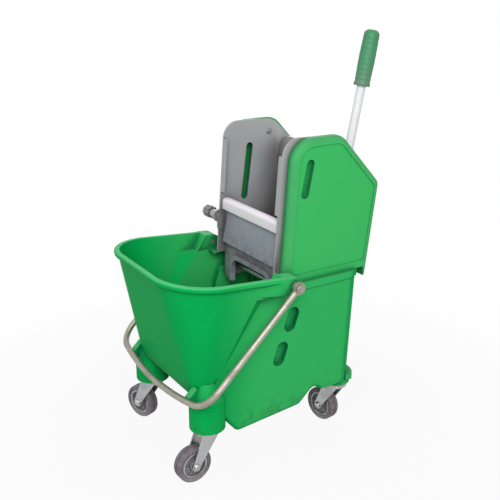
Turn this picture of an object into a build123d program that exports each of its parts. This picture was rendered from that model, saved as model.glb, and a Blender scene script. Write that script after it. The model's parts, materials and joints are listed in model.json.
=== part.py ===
from build123d import *
import math
import os

# Mop bucket with a lever wringer, in millimetres.
# The pouring prow faces -Y, +Z is up, the floor is z = 0 and the origin lies midway along the length.

# Heights: the tub stands on its casters, the wringer on the rim of the belly
caster_height = 110.0
keel_rise = 70.0
prow_height = 247.0
belly_height = 196.0
keel_z = caster_height + keel_rise
rim_front_z = keel_z + prow_height
belly_top_z = keel_z + belly_height

# Tub prow: a raked bow, wide at the rim and narrow at the keel
tub_wall = 5.0
prow_reach = 249.0
keel_reach = 195.0
rim_front_y = -prow_reach
keel_front_y = -keel_reach
rim_half_width = 171.0
rim_rise_angle = 4.6
rim_corner_radius = 98.0
keel_half_width = 134.0
keel_corner_radius = 30.0
bead_reach = 7.0
bead_height = 11.0
bead_round = 4.5

# Crease: the side-view arc where the prow ends and the belly begins, with a slanting shoulder beside it
crease_low = (-181.0, keel_z - 3.0)
crease_mid = (-96.0, keel_z + 118.0)
crease_high = (-12.0, keel_z + 236.0)
shoulder_width = 40.0
shoulder_depth = 64.0

# Belly: the wide rear body with a deep well between the casters
belly_half_width = 141.0
belly_rear_top_y = 201.0
belly_rear_foot = (188.0, keel_z - 28.0)
belly_corner_radius = 40.0
well_front = (-108.0, keel_z - 95.0)
well_rear = (45.0, keel_z - 81.0)
well_step = (84.0, keel_z - 46.0)
rear_pad = 12.0
rear_floor_z = caster_height + rear_pad
well_round = 14.0
skirt_round = 9.0
kick_lip_reach = 14.0
kick_lip_height = 12.0
band_reach = 3.0
band_height = 14.0
seat_ledge = 21.0
seat_thickness = 5.0
side_recess_depth = 11.0
side_recess_width = 27.0
side_recess_length = 26.0
side_recess_centres = [(20.0, keel_z + 122.0), (-6.0, keel_z + 52.0)]
side_recess_lean = 20.0
inner_rib_reach = 4.0
inner_rib_width = 6.0
inner_rib_pitch = 62.0
inner_rib_first_y = 37.0
inner_rib_count = 3

# Casters: 75 mm wheels, stems pressed into the tub
wheel_diameter = 75.0
tyre_width = 24.0
core_diameter = 56.0
core_hub_diameter = 22.0
core_hub_width = 25.0
core_web = 7.0
core_rim_wall = 5.0
core_draft = 2.0
tyre_shoulder = 4.0
tyre_bead = 1.5
axle_diameter = 8.0
axle_clearance = 0.1
fork_gap = 29.0
fork_sheet = 3.0
caster_trail = 36.0
crown_diameter = 48.0
crown_thickness = 6.0
race_diameter = 52.0
race_thickness = 4.0
race_gap = 1.0
king_pin_diameter = 14.0
king_pin_clearance = 0.1
king_head_diameter = 22.0
king_head_thickness = 4.0
stem_diameter = 11.0
stem_length = 38.0
front_stem = (123.0, -168.0)
rear_stem = (108.0, 166.0)
front_boss_radius = 36.0
front_boss_height = 65.0
front_dome_height = 35.0
front_dome_radius = 17.0
rear_boss_radius = 29.0
socket_wall = 5.0
fork_eye_radius = 9.5
fork_leg_half = 19.0
axle_head_diameter = 14.0
axle_head_height = 4.0
rest_swivel = {"front_right": 2.0, "front_left": -70.0, "rear_right": -80.0, "rear_left": 24.0}

# Wringer frame: two grey side plates between green cheek covers
wringer_inset = 33.0
plate_inner_x = belly_half_width - wringer_inset
plate_sheet = 4.0
cheek_inset = 8.0
cheek_outer_x = belly_half_width - cheek_inset
cheek_shell = 4.0
cheek_front_low_y = 6.0
cheek_front_top_y = 28.0
cheek_height = 285.0
cheek_top_z = belly_top_z + cheek_height
cheek_top_rear_y = 144.0
cheek_shoulder = (244.0, belly_top_z + 177.0)
cheek_rear_low = (218.0, belly_top_z - 20.0)
cheek_border_width = 15.0
cheek_field_depth = 1.5
cheek_edge_round = 14.0
cheek_corner_round = 18.0
cheek_front_round = 50.0
cheek_rear_round = 40.0
cheek_recess = [(53.0, belly_top_z + 178.0), (65.0, belly_top_z + 236.0)]
cheek_recess_width = 18.0
cheek_recess_depth = 12.0
plate_slot = [(64.0, belly_top_z + 120.0), (78.0, belly_top_z + 228.0)]
plate_slot_width = 16.0
plate_leg_z = belly_top_z - 60.0
plate_leg_round = 10.0
plate_show = 2.0
plate_rear_reach = 8.0
plate_lead = 12.0
plate_front_round = 36.0
plate_flange_reach = 10.0
frame_gap = 3.0
front_wall_y = 15.0
front_wall_sheet = 4.0
front_wall_height = 110.0
front_wall_top_z = belly_top_z + front_wall_height
arch_half_width = 74.0
arch_top_z = belly_top_z - 6.0
arch_round = 24.0
arch_flange = 11.0
arch_flange_reach = 6.0
apron_reach = 13.0
apron_drop = 70.0
apron_sheet = 4.0
apron_end_gap = 10.0
lip_height = 26.0
lip_depth = 20.0
lip_round = 9.0
lip_hem_round = 2.0
lip_end_gap = 1.0
drain_top_z = belly_top_z + 8.0
drain_sheet = 4.0
drain_slot_width = 7.0
drain_slot_length = 56.0
drain_slot_pitch = 16.0
back_panel_sheet = 4.0
back_panel_top_z = belly_top_z + 170.0
tie_rod_diameter = 10.0
front_tie_rod = (32.0, belly_top_z - 28.0)
rear_tie_rod = (186.0, belly_top_z + 64.0)
nut_across = 16.0
nut_height = 6.0
screw_head_diameter = 11.0
screw_head_height = 2.5
screw_post_wall = 1.0
cover_screws_at = [
    (40.0, belly_top_z + 26.0),
    (186.0, belly_top_z + 26.0),
    (206.0, belly_top_z + 179.0),
    (128.0, belly_top_z + 256.0),
]

# Press: plate, shaft, lever and grip turn as one
press_pivot = (148.0, belly_top_z + 29.0)
shaft_diameter = 16.0
shaft_end_gap = 3.0
shaft_chamfer = 1.0
bush_diameter = 24.0
bush_flange_diameter = 32.0
bush_flange = 3.0
bush_clearance = 0.05
press_side_gap = 5.0
press_hub_gap = 1.0
press_height = 218.0
press_lean = 2.0
press_sheet = 5.0
press_hub_diameter = 26.0
press_top_round = 30.0
press_rib_height = 9.0
press_rib_width = 5.0
press_rib_count = 3
press_slot_width = 9.0
press_slot_length = 34.0
press_slot_rows = 3
press_slot_columns = 6
press_slot_pitch = 24.0
press_slot_row_pitch = 50.0
socket_boss_diameter = 36.0
socket_boss_width = 27.0
socket_diameter = 30.0
socket_reach = 96.0
socket_clear = 20.0
notch_round = 10.0
lever_lean = 11.7
lever_diameter = 18.0
lever_foot = 24.0
lever_length = 457.0
grip_length = 110.0
grip_diameter = 33.0
grip_neck_diameter = 31.0
grip_cap = 5.0
grip_collar = 6.0
grip_dome = 10.0
buffer_height = 165.0
buffer_size = 14.0
buffer_side_gap = 1.0
buffer_depth = 9.0
buffer_gap = 0.4
buffer_round = 2.0

# Bail: bowed carrying handle hinged under the rim behind the prow, resting in a saddle on each front boss
bail_pivot = (2.0, belly_top_z + 13.0)
ear_stand_out = 6.0
ear_outer_x = rim_half_width + ear_stand_out
bail_stand_out = 10.0
bail_arm_x = ear_outer_x + bail_stand_out
bail_tube_diameter = 13.0
bail_reach = 311.0
bail_bow_radius = 810.0
bail_corner = 45.0
bail_drop_angle = 43.5
bail_eye_diameter = 25.0
bail_eye_width = 9.0
bail_pin_diameter = 10.0
bail_pin_clearance = 0.1
bail_pin_head = 17.0
bail_pin_head_height = 4.0
bail_side_gap = 0.5
ear_radius = 17.0
ear_root = 1.0
ear_inner_x = belly_half_width + ear_root
ear_reach = 80.0
shoulder_top_z = bail_pivot[1] - ear_radius
saddle_width = 16.0
saddle_reach = 32.0
saddle_depth = 12.0
saddle_gap = 0.5

# Lock knob on the left side plate
knob_at = (-1.0, belly_top_z + 83.0)
knob_diameter = 27.0
knob_length = 24.0
knob_flutes = 8
knob_flute_depth = 2.5
knob_gap = 4.0
spindle_diameter = 9.0
spindle_clearance = 0.1
ear_rim = 9.0
tongue_width = 12.0
tongue_length = 24.0
tongue_sheet = 4.0
tongue_gap = 0.5

# Shared helpers
far = 700.0
near = 0.01


def rounded(corners):
    """Closed face from (u, v, radius) corners."""
    face = make_face(Polyline(*[(u, v) for u, v, radius in corners], close=True))
    for u, v, radius in corners:
        if radius > 0:
            corner = face.vertices().sort_by_distance((u, v, 0))[0]
            face = fillet(corner, radius)
    return face


def along_x(face, x0, x1):
    """Side-view (y, z) face swept from x0 to x1."""
    return extrude(Plane.YZ.offset(x0) * face, x1 - x0)


def along_y(face, y0, y1):
    """Front-view (x, z) face swept from y0 to y1."""
    return extrude(Plane.XZ.offset(-y1) * face, y1 - y0)


def along_z(face, z0, z1):
    """Plan (x, y) face swept from z0 to z1."""
    return extrude(Pos(0, 0, z0) * face, z1 - z0)


def rod_x(radius, x0, x1, centre):
    """Round bar along X through the side-view point centre."""
    return along_x(Pos(*centre) * Circle(radius), x0, x1)


def stadium(start, end, width):
    """Slot-shaped face between two side-view points."""
    rise = math.degrees(math.atan2(end[1] - start[1], end[0] - start[0]))
    middle = Pos((start[0] + end[0]) / 2, (start[1] + end[1]) / 2)
    length = math.dist(start, end)
    return middle * Rot(0, 0, rise) * SlotCenterToCenter(length, width)


def both_sides(piece):
    """The piece and its mirror image across the middle plane."""
    return piece + mirror(piece, about=Plane.YZ)


def left_of(piece):
    return mirror(piece, about=Plane.YZ)


# Tub
def along_prow(low, high, z):
    """Prow dimension at height z, straight from keel to front rim."""
    return low + (high - low) * (z - keel_z) / (rim_front_z - keel_z)


def prow_plan(z, grow):
    half = along_prow(keel_half_width, rim_half_width, z) + grow
    front = along_prow(keel_front_y, rim_front_y, z) - grow
    corner = along_prow(keel_corner_radius, rim_corner_radius, z) + grow
    rear = belly_rear_top_y / 3
    outline = rounded([(-half, front, corner), (half, front, corner), (half, rear, 0), (-half, rear, 0)])
    return Pos(0, 0, z) * outline


def prow_block(grow, floor_z):
    """Raked bow from floor_z to above the rim, grown outwards by grow."""
    top_z = rim_front_z + 2 * bead_height
    return loft([prow_plan(floor_z, grow), prow_plan(top_z, grow)], ruled=True)


def crease_region(back):
    """Side-view region in front of the crease arc, moved forwards by back."""
    arc = ThreePointArc(crease_low, crease_mid, crease_high)
    up = Line(crease_high, (crease_high[0], far))
    over = Line((crease_high[0], far), (-far, far))
    down = Line((-far, far), (-far, crease_low[1] - far / 10))
    under = Line((-far, crease_low[1] - far / 10), (crease_low[0], crease_low[1] - far / 10))
    close = Line((crease_low[0], crease_low[1] - far / 10), crease_low)
    return Pos(-back, 0) * make_face([arc, up, over, down, under, close])


def ahead_of_crease(back, inset, shoulder_top):
    """Everything in front of the crease; beside the belly, below shoulder_top, its rear slants forwards."""
    half = belly_half_width - inset
    straight = along_x(crease_region(back), -far / 2, far / 2)
    upper = straight & Pos(0, 0, shoulder_top + far / 2) * Box(2 * far, 2 * far, far)
    slant = loft([
        Plane.YZ.offset(half) * crease_region(back),
        Plane.YZ.offset(half + shoulder_width) * crease_region(back + shoulder_depth),
    ], ruled=True)
    return along_x(crease_region(back), -half, half) + both_sides(slant) + upper


def belly_side():
    """Side-view outline of the belly, open above the rim."""
    arc = ThreePointArc(crease_low, crease_mid, crease_high)
    rear = belly_rear_top_y + kick_lip_reach + far / 10
    loop = Polyline(
        crease_high,
        (crease_high[0], far),
        (rear, far),
        (rear, rear_floor_z),
        (well_step[0] + (well_step[1] - rear_floor_z), rear_floor_z),
        well_step,
        well_rear,
        well_front,
        crease_low,
    )
    face = make_face([*loop.edges(), arc])
    for point in (well_rear, well_front, well_step):
        corner = face.vertices().sort_by_distance((*point, 0))[0]
        face = fillet(corner, well_round)
    return face


def belly_rear(z):
    """Rear wall position at height z."""
    lean = (belly_rear_top_y - belly_rear_foot[0]) / (belly_top_z - belly_rear_foot[1])
    return belly_rear_foot[0] + lean * (z - belly_rear_foot[1])


def belly_outline(z, inset):
    """Plan outline of the belly as it is at height z, drawn at z = 0."""
    half = belly_half_width - inset
    rear = belly_rear(z) - inset
    corner = belly_corner_radius - inset
    front = -far / 2
    return rounded([(-half, front, 0), (half, front, 0), (half, rear, corner), (-half, rear, corner)])


def behind(y):
    """Everything behind y, as tall as the belly."""
    return along_z(Pos(0, y + far / 2) * Rectangle(far, far), 0, belly_top_z)


def belly_block(side, inset, top_z):
    """Side outline limited to the plan with rounded rear corners."""
    low_z = well_front[1] / 2
    ends = [Pos(0, 0, z) * belly_outline(z, inset) for z in (low_z, top_z)]
    half = belly_half_width - inset
    return along_x(side, -half, half) & loft(ends, ruled=True)


def rim_slab(depth):
    """Everything under the sloping rim plane, down to depth below it."""
    rise = math.tan(math.radians(rim_rise_angle))
    drop = far if depth is None else depth
    top_rear = rim_front_z - rise * (far - rim_front_y)
    top_front = rim_front_z - rise * (-far - rim_front_y)
    outline = Polyline(
        (-far, top_front), (far, top_rear), (far, top_rear - drop), (-far, top_front - drop), close=True
    )
    return along_x(make_face(outline), -far / 2, far / 2)


def tub_hollow():
    """Inside of the tub: prow pocket, belly well and the way between them."""
    inner_side = offset(belly_side(), -tub_wall)
    top_z = rim_front_z + 2 * bead_height
    belly = belly_block(inner_side, tub_wall, top_z)
    bow = prow_block(-tub_wall, keel_z + tub_wall)
    pocket = bow & ahead_of_crease(tub_wall / 2, tub_wall, shoulder_top_z + tub_wall)
    passage_half = belly_half_width - tub_wall
    forward = Pos(-2.5 * tub_wall, 2.5 * tub_wall) * inner_side
    passage = bow & along_x(forward, -passage_half, passage_half)
    return belly + pocket + passage


def front_boss():
    """Moulded boss with a coned top over a front caster."""
    upwards = (Align.CENTER, Align.CENTER, Align.MIN)
    straight = Cylinder(front_boss_radius, front_boss_height, align=upwards)
    dome = Cone(front_boss_radius, front_dome_radius, front_dome_height, align=upwards)
    return Pos(*front_stem, caster_height) * (straight + Pos(0, 0, front_boss_height) * dome)


def bail_saddle():
    """Saddle in front of a front boss, under the plane of the lowered bail."""
    x = front_stem[0]
    drop = math.radians(bail_drop_angle)
    bow = bail_reach - bail_bow_radius + math.sqrt(bail_bow_radius ** 2 - x ** 2)
    rear = bow - saddle_reach
    corners = []
    for reach, depth in ((bow, 0), (rear, 0), (rear, saddle_depth), (bow, saddle_depth)):
        corners.append((
            bail_pivot[0] - reach * math.cos(drop) + depth * math.sin(drop),
            bail_pivot[1] - reach * math.sin(drop) - depth * math.cos(drop),
        ))
    return along_x(make_face(Polyline(*corners, close=True)), x - saddle_width / 2, x + saddle_width / 2)


def stem_bore(at):
    return Pos(at[0], at[1], caster_height) * Cylinder(
        stem_diameter / 2, stem_length, align=(Align.CENTER, Align.CENTER, Align.MIN))


def rear_boss():
    """Flat pad below and stem socket above the rear floor."""
    pad = Pos(*rear_stem, caster_height) * Cylinder(
        rear_boss_radius, rear_floor_z - caster_height + tub_wall / 2,
        align=(Align.CENTER, Align.CENTER, Align.MIN))
    socket = Pos(*rear_stem, caster_height) * Cylinder(
        stem_diameter / 2 + socket_wall, stem_length + socket_wall,
        align=(Align.CENTER, Align.CENTER, Align.MIN))
    return pad + socket


def bail_ear():
    """Rail under the rim that carries the bail pin and fades into the side of the prow."""
    y, z = bail_pivot
    front = y - ear_reach
    climb = ear_reach * math.tan(math.radians(rim_rise_angle))
    rail = make_face(Polyline(
        (y, z + ear_radius),
        (front, z + ear_radius + climb),
        (front, z - ear_radius + climb),
        (y, z - ear_radius),
        close=True))
    tab = along_x(rail + Pos(y, z) * Circle(ear_radius), ear_inner_x, ear_outer_x)
    fade = along_prow(keel_half_width, rim_half_width, z - ear_radius)
    plan = make_face(Polyline(
        (ear_inner_x, y + ear_radius),
        (ear_outer_x, y + ear_radius),
        (ear_outer_x, y - ear_radius),
        (fade, front),
        (ear_inner_x, front),
        close=True))
    return tab & along_z(plan, z - ear_reach, z + ear_reach)


def side_recess(grow, depth):
    """Slanted stadiums let into the right side of the belly, grown by grow."""
    pockets = Part()
    for y, z in side_recess_centres:
        slot = Pos(y, z) * Rot(0, 0, 90 - side_recess_lean) * SlotCenterToCenter(
            side_recess_length, side_recess_width + 2 * grow)
        pockets += along_x(slot, belly_half_width - depth, belly_half_width)
    return pockets


def inner_ribs():
    """Upright ribs along the inside of the belly walls."""
    outer = belly_half_width - tub_wall
    foot = max(well_rear[1], rear_floor_z) + tub_wall
    ribs = Part()
    for step in range(inner_rib_count):
        y = inner_rib_first_y + step * inner_rib_pitch
        ribs += Pos((outer - inner_rib_reach / 2), y, (foot + belly_top_z - seat_thickness) / 2) * Box(
            inner_rib_reach + tub_wall, inner_rib_width, belly_top_z - seat_thickness - foot)
    return ribs


def seat():
    """Ledge inside the belly rim on which the wringer sits."""
    inset = tub_wall / 2
    low = belly_top_z - seat_thickness
    ring = along_z(belly_outline(belly_top_z, inset), low, belly_top_z) & behind(crease_high[0])
    half = belly_half_width - seat_ledge - tub_wall
    rear = belly_rear(belly_top_z) - tub_wall - seat_ledge / 2
    opening = along_z(Pos(0, rear - far / 2) * Rectangle(2 * half, far), low, belly_top_z)
    return ring - opening


def make_tub():
    ahead = ahead_of_crease(0, 0, shoulder_top_z)
    bow = prow_block(0, keel_z) & ahead & rim_slab(None)
    belly = belly_block(belly_side(), 0, belly_top_z)
    lower_edges = belly.edges().filter_by(lambda edge: abs(abs(edge.center().X) - belly_half_width) < near
                                          and edge.center().Z < well_step[1] - near
                                          and edge.center().Y < well_step[0])
    belly = fillet(lower_edges, skirt_round)
    bead = prow_block(bead_reach, keel_z) & rim_slab(bead_height) & ahead
    rolled = bead.edges().filter_by(lambda edge: edge.geom_type != GeomType.LINE
                                    and edge.length > 2 * bead_height)
    bead = fillet(rolled, bead_round)
    band_plan = belly_outline(belly_top_z, -band_reach)
    band = along_z(band_plan, belly_top_z - band_height, belly_top_z) & behind(crease_high[0])
    lip_plan = belly_outline(rear_floor_z, -kick_lip_reach) & Rectangle(2 * belly_half_width, far)
    kick = along_z(lip_plan, rear_floor_z, rear_floor_z + kick_lip_height) & behind(rear_stem[1])
    shell = bow + belly + bead + band + kick + both_sides(bail_ear())
    shell = shell + both_sides(front_boss()) + both_sides(bail_saddle())
    shell = shell - tub_hollow() + both_sides(rear_boss()) + seat() + both_sides(inner_ribs())
    shell = shell + both_sides(side_recess(tub_wall, side_recess_depth + tub_wall) & belly)
    shell = shell - both_sides(side_recess(0, side_recess_depth))
    shell = shell - bail_tube(bail_tube_diameter / 2 + saddle_gap)
    for at in (front_stem, rear_stem):
        shell = shell - both_sides(stem_bore(at))
    shell = shell - both_sides(rod_x(bail_pin_diameter / 2, ear_inner_x, ear_outer_x, bail_pivot))
    return shell


# Bail
def bail_corner_depth():
    """Depth along the arm where the corner bend starts."""
    across = bail_arm_x - bail_corner
    return bail_reach - bail_bow_radius + math.sqrt((bail_bow_radius - bail_corner) ** 2 - across ** 2)


def bail_plane():
    drop = math.radians(bail_drop_angle)
    return Plane(origin=(0, *bail_pivot), x_dir=(1, 0, 0), z_dir=(0, math.sin(drop), -math.cos(drop)))


def bail_tube(radius):
    """Bowed U of round tube lying in the bail plane."""
    start = bail_corner_depth()
    centre_x = bail_arm_x - bail_corner
    bow_centre = bail_reach - bail_bow_radius
    turn = math.atan2(start - bow_centre, centre_x)
    tangent = (bail_bow_radius * math.cos(turn), bow_centre + bail_bow_radius * math.sin(turn))
    bend = (centre_x + bail_corner * math.cos(turn / 2), start + bail_corner * math.sin(turn / 2))
    path = [
        Line((-bail_arm_x, 0), (-bail_arm_x, start)),
        ThreePointArc((-bail_arm_x, start), (-bend[0], bend[1]), (-tangent[0], tangent[1])),
        ThreePointArc((-tangent[0], tangent[1]), (0, bail_reach), tangent),
        ThreePointArc(tangent, bend, (bail_arm_x, start)),
        Line((bail_arm_x, start), (bail_arm_x, 0)),
    ]
    wire = bail_plane() * Wire(path)
    section = Plane(origin=wire @ 0, z_dir=wire % 0) * Circle(radius)
    return sweep(section, path=wire)


def make_bail():
    half = bail_eye_width / 2
    eye = rod_x(bail_eye_diameter / 2, bail_arm_x - half, bail_arm_x + half, bail_pivot)
    reach = far / 20
    bore = rod_x(bail_pin_diameter / 2 + bail_pin_clearance, bail_arm_x - reach, bail_arm_x + reach, bail_pivot)
    trim = rod_x(bail_eye_diameter / 2, bail_arm_x - reach, bail_arm_x + reach, bail_pivot)
    return bail_tube(bail_tube_diameter / 2) - both_sides(trim) + both_sides(eye - bore)


def make_bail_pin():
    """Shouldered pin pressed into the right ear, with a domed head outside the eye."""
    inner = bail_arm_x - bail_eye_width / 2 - bail_side_gap
    outer = bail_arm_x + bail_eye_width / 2 + bail_side_gap
    pin = rod_x(bail_pin_diameter / 2, ear_inner_x, outer, bail_pivot)
    collar = rod_x(bail_pin_head / 2, ear_outer_x, inner, bail_pivot)
    head = rod_x(bail_pin_head / 2, outer, outer + bail_pin_head_height, bail_pivot)
    rim = head.edges().group_by(Axis.X)[-1]
    return pin + collar + chamfer(rim, bail_pin_head_height / 2)


# Casters
def upright(radius, z0, z1):
    return Pos(0, 0, z0) * Cylinder(radius, z1 - z0, align=(Align.CENTER, Align.CENTER, Align.MIN))


race_low_z = caster_height - race_thickness
crown_top_z = race_low_z - race_gap
crown_low_z = crown_top_z - crown_thickness
axle_at = (-caster_trail, wheel_diameter / 2)


def make_stem():
    """Pressed stem with upper race and king pin; the head keeps the fork on."""
    stem = upright(stem_diameter / 2, caster_height, caster_height + stem_length)
    race = upright(race_diameter / 2, race_low_z, caster_height)
    race = chamfer(race.edges().group_by(Axis.Z)[0], race_thickness / 3)
    head_top = crown_low_z - race_gap
    pin = upright(king_pin_diameter / 2, head_top, race_low_z)
    head = upright(king_head_diameter / 2, head_top - king_head_thickness, head_top)
    return stem + race + pin + chamfer(head.edges().group_by(Axis.Z)[0], king_head_thickness / 3)


def make_fork():
    """Pressed crown with two tapering legs down to the axle."""
    crown = upright(crown_diameter / 2, crown_low_z, crown_top_z)
    inner = fork_gap / 2
    outer = inner + fork_sheet
    leg_top = crown_low_z + crown_thickness / 2
    leg_outline = make_face(Polyline(
        (fork_leg_half, leg_top),
        (-fork_leg_half, leg_top),
        (axle_at[0] - fork_eye_radius, axle_at[1]),
        (axle_at[0] + fork_eye_radius, axle_at[1]),
        close=True)) + Pos(*axle_at) * Circle(fork_eye_radius)
    leg = along_x(leg_outline, inner, outer)
    fork = crown + both_sides(leg)
    fork -= upright(king_pin_diameter / 2 + king_pin_clearance, 0, caster_height)
    fork -= rod_x(axle_diameter / 2, -far / 10, far / 10, axle_at)
    return fork


def make_axle():
    """Riveted axle with a head outside each fork leg."""
    face = fork_gap / 2 + fork_sheet
    rod = rod_x(axle_diameter / 2, -face, face, axle_at)
    head = rod_x(axle_head_diameter / 2, face, face + axle_head_height, axle_at)
    head = chamfer(head.edges().group_by(Axis.X)[-1], axle_head_height / 2)
    return rod + both_sides(head)


def ring_profile(points):
    """Solid of revolution about the axle from (x, radius) points."""
    face = make_face(Polyline(*[(x, radius) for x, radius in points], close=True))
    turned = revolve(Plane.XY * face, axis=Axis.X)
    return Pos(0, *axle_at) * turned


def make_core():
    """Wheel centre: hub, thin web and rim band."""
    hub = core_hub_diameter / 2
    rim = core_diameter / 2
    band = rim - core_rim_wall
    half_hub = core_hub_width / 2
    half_band = tyre_width / 2 - tyre_bead
    half_web = core_web / 2
    bore = axle_diameter / 2 + axle_clearance
    right = [
        (half_band, rim),
        (half_band, band + core_draft / 2),
        (half_web, band),
        (half_web, hub + core_draft),
        (half_hub, hub),
        (half_hub, bore),
    ]
    left = [(-x, radius) for x, radius in reversed(right)]
    return ring_profile(left + right)


def make_tyre():
    half = tyre_width / 2
    rim = core_diameter / 2
    tread = wheel_diameter / 2
    right = [(half - tyre_shoulder, tread), (half, tread - tyre_shoulder), (half, rim + tyre_bead),
             (half - tyre_bead, rim)]
    left = [(-x, radius) for x, radius in reversed(right)]
    return ring_profile(left + right)


# Wringer frame
def cheek_outline():
    """Side view of a cheek, from the rim to the sloping shoulder."""
    rear_low = cheek_rear_low
    skirt_y = belly_rear(belly_top_z) + band_reach + frame_gap
    return [
        (cheek_front_low_y, belly_top_z, 0),
        (cheek_front_top_y, cheek_top_z, cheek_front_round),
        (cheek_top_rear_y, cheek_top_z, cheek_rear_round),
        (*cheek_shoulder, cheek_corner_round),
        (*rear_low, 0),
        (skirt_y, rear_low[1], 0),
        (skirt_y, belly_top_z, 0),
    ]


def make_cheek_cover():
    """Hollow right cover with a rounded edge, a sunk field and a slanted recess."""
    inner = plate_inner_x + plate_sheet
    face = rounded(cheek_outline())
    cover = along_x(face, inner, cheek_outer_x)
    outer_edges = cover.edges().filter_by(lambda edge: edge.center().X > cheek_outer_x - near
                                          and edge.center().Z > belly_top_z + near)
    cover = fillet(outer_edges, cheek_edge_round)
    hollow = along_x(offset(face, -cheek_shell), inner, cheek_outer_x - cheek_shell)
    hollow = hollow & along_x(offset(face, -cheek_edge_round), inner, cheek_outer_x - cheek_shell)
    field = offset(face, -cheek_border_width)
    well = stadium(*cheek_recess, cheek_recess_width)
    pad = stadium(*cheek_recess, cheek_recess_width + 2 * cheek_shell)
    floor_x = cheek_outer_x - cheek_recess_depth
    cover = cover - hollow - along_x(field, cheek_outer_x - cheek_field_depth, far)
    cover = cover + along_x(pad, floor_x - cheek_shell, cheek_outer_x - cheek_field_depth)
    cover = cover - along_x(well, floor_x, far)
    for centre in cover_screws_at:
        post = screw_head_diameter / 2 + screw_post_wall
        cover = cover + rod_x(post, inner, cheek_outer_x - cheek_shell, centre)
    return cover


def make_side_plate(with_ear):
    """Right plate with legs into the tub, a slot, bores and a turned-in front flange."""
    front_low = (cheek_front_low_y - plate_lead, belly_top_z)
    top_z = cheek_top_z + plate_show
    front_top = (cheek_front_top_y - plate_lead, top_z)
    leg_front = front_wall_y
    leg_rear = belly_rear(belly_top_z) - tub_wall - seat_ledge / 2 - frame_gap
    shoulder = (cheek_shoulder[0] + plate_show, cheek_shoulder[1] + plate_show / 3)
    rear_low = (belly_rear(belly_top_z) + plate_rear_reach, belly_top_z)
    face = rounded([
        (leg_front, plate_leg_z, plate_leg_round),
        (leg_front, belly_top_z, 0),
        (*front_low, 0),
        (*front_top, plate_front_round),
        (cheek_top_rear_y - 3 * plate_show, cheek_top_z - plate_show, cheek_rear_round),
        (*shoulder, cheek_corner_round),
        (*rear_low, 0),
        (leg_rear, belly_top_z, 0),
        (leg_rear, plate_leg_z, plate_leg_round),
    ])
    lean = (front_top[0] - front_low[0]) / (front_top[1] - front_low[1])
    flange = []
    for z in (front_wall_top_z + lip_height, top_z - plate_front_round):
        flange.append((front_low[0] + lean * (z - front_low[1]), z))
    fold = make_face(Polyline(
        flange[0],
        flange[1],
        (flange[1][0] + plate_sheet, flange[1][1]),
        (flange[0][0] + plate_sheet, flange[0][1]),
        close=True))
    face = face - stadium(*plate_slot, plate_slot_width)
    face = face - Pos(*press_pivot) * Circle(bush_diameter / 2)
    for centre in (front_tie_rod, rear_tie_rod):
        face = face - Pos(*centre) * Circle(tie_rod_diameter / 2)
    if with_ear:
        arm = make_face(Polyline(
            (knob_at[0], knob_at[1] + spindle_diameter / 2 + ear_rim),
            (knob_at[0], knob_at[1] - spindle_diameter / 2 - ear_rim),
            (front_wall_y, knob_at[1] - 3 * ear_rim), (front_wall_y, knob_at[1] + 3 * ear_rim), close=True))
        face = face + Pos(*knob_at) * Circle(spindle_diameter / 2 + ear_rim) + arm
        face = face - Pos(*knob_at) * Circle(spindle_diameter / 2 + spindle_clearance)
    plate = along_x(face, plate_inner_x, plate_inner_x + plate_sheet)
    return plate + along_x(fold, plate_inner_x - plate_flange_reach, plate_inner_x)


def make_front_wall():
    """Front of the basket: an apron that sheds water and, below it, an arch between two legs."""
    x = plate_inner_x
    below = plate_leg_z - 2 * arch_flange
    opening = rounded([(-arch_half_width, below, 0), (arch_half_width, below, 0),
                       (arch_half_width, arch_top_z, arch_round), (-arch_half_width, arch_top_z, arch_round)])
    sheet = make_face(Polyline(
        (-x, plate_leg_z), (x, plate_leg_z), (x, front_wall_top_z), (-x, front_wall_top_z), close=True))
    wall = along_y(sheet - opening, front_wall_y, front_wall_y + front_wall_sheet)
    flange = (offset(opening, arch_flange) - opening) & sheet
    wall = wall + along_y(flange, front_wall_y - arch_flange_reach, front_wall_y + front_wall_sheet)
    apron_top = front_wall_top_z - lip_height / 2
    apron_low = apron_top - apron_drop
    apron = make_face(Polyline(
        (front_wall_y, apron_top),
        (front_wall_y - apron_reach, apron_low),
        (front_wall_y - apron_reach + apron_sheet, apron_low),
        (front_wall_y, apron_top - apron_drop * apron_sheet / apron_reach),
        close=True))
    return wall + along_x(apron, apron_end_gap - x, x - apron_end_gap)


def make_lip():
    """Rounded lip along the top of the front wall."""
    y0 = front_wall_y + front_wall_sheet / 2 - lip_depth / 2
    z0 = front_wall_top_z - lip_height / 2
    y1 = y0 + lip_depth
    z1 = z0 + lip_height
    section = rounded([
        (y0, z0, lip_hem_round),
        (y1, z0, lip_hem_round),
        (y1, z1, lip_round),
        (y0, z1, lip_round),
    ])
    groove = Pos(front_wall_y + front_wall_sheet / 2, z0) * Rectangle(front_wall_sheet, lip_height)
    half = plate_inner_x - lip_end_gap
    return along_x(section - groove, -half, half)


def make_drain():
    """Slotted basket floor between the front wall and the rear of the seat."""
    y0 = front_wall_y + front_wall_sheet
    y1 = belly_rear(belly_top_z) - tub_wall - seat_ledge / 2 - frame_gap
    centre = Pos(0, (y0 + y1) / 2, drain_top_z - drain_sheet / 2)
    plate = centre * Box(2 * plate_inner_x, y1 - y0, drain_sheet)
    columns = int(2 * (plate_inner_x - drain_slot_pitch) / drain_slot_pitch) + 1
    slots = GridLocations(drain_slot_pitch, drain_slot_length + drain_slot_pitch, columns, 2)
    cutter = Pos(0, (y0 + y1) / 2, drain_top_z) * slots * extrude(
        Rot(0, 0, 90) * SlotOverall(drain_slot_length, drain_slot_width), drain_sheet * 2, both=True)
    return plate - cutter


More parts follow.
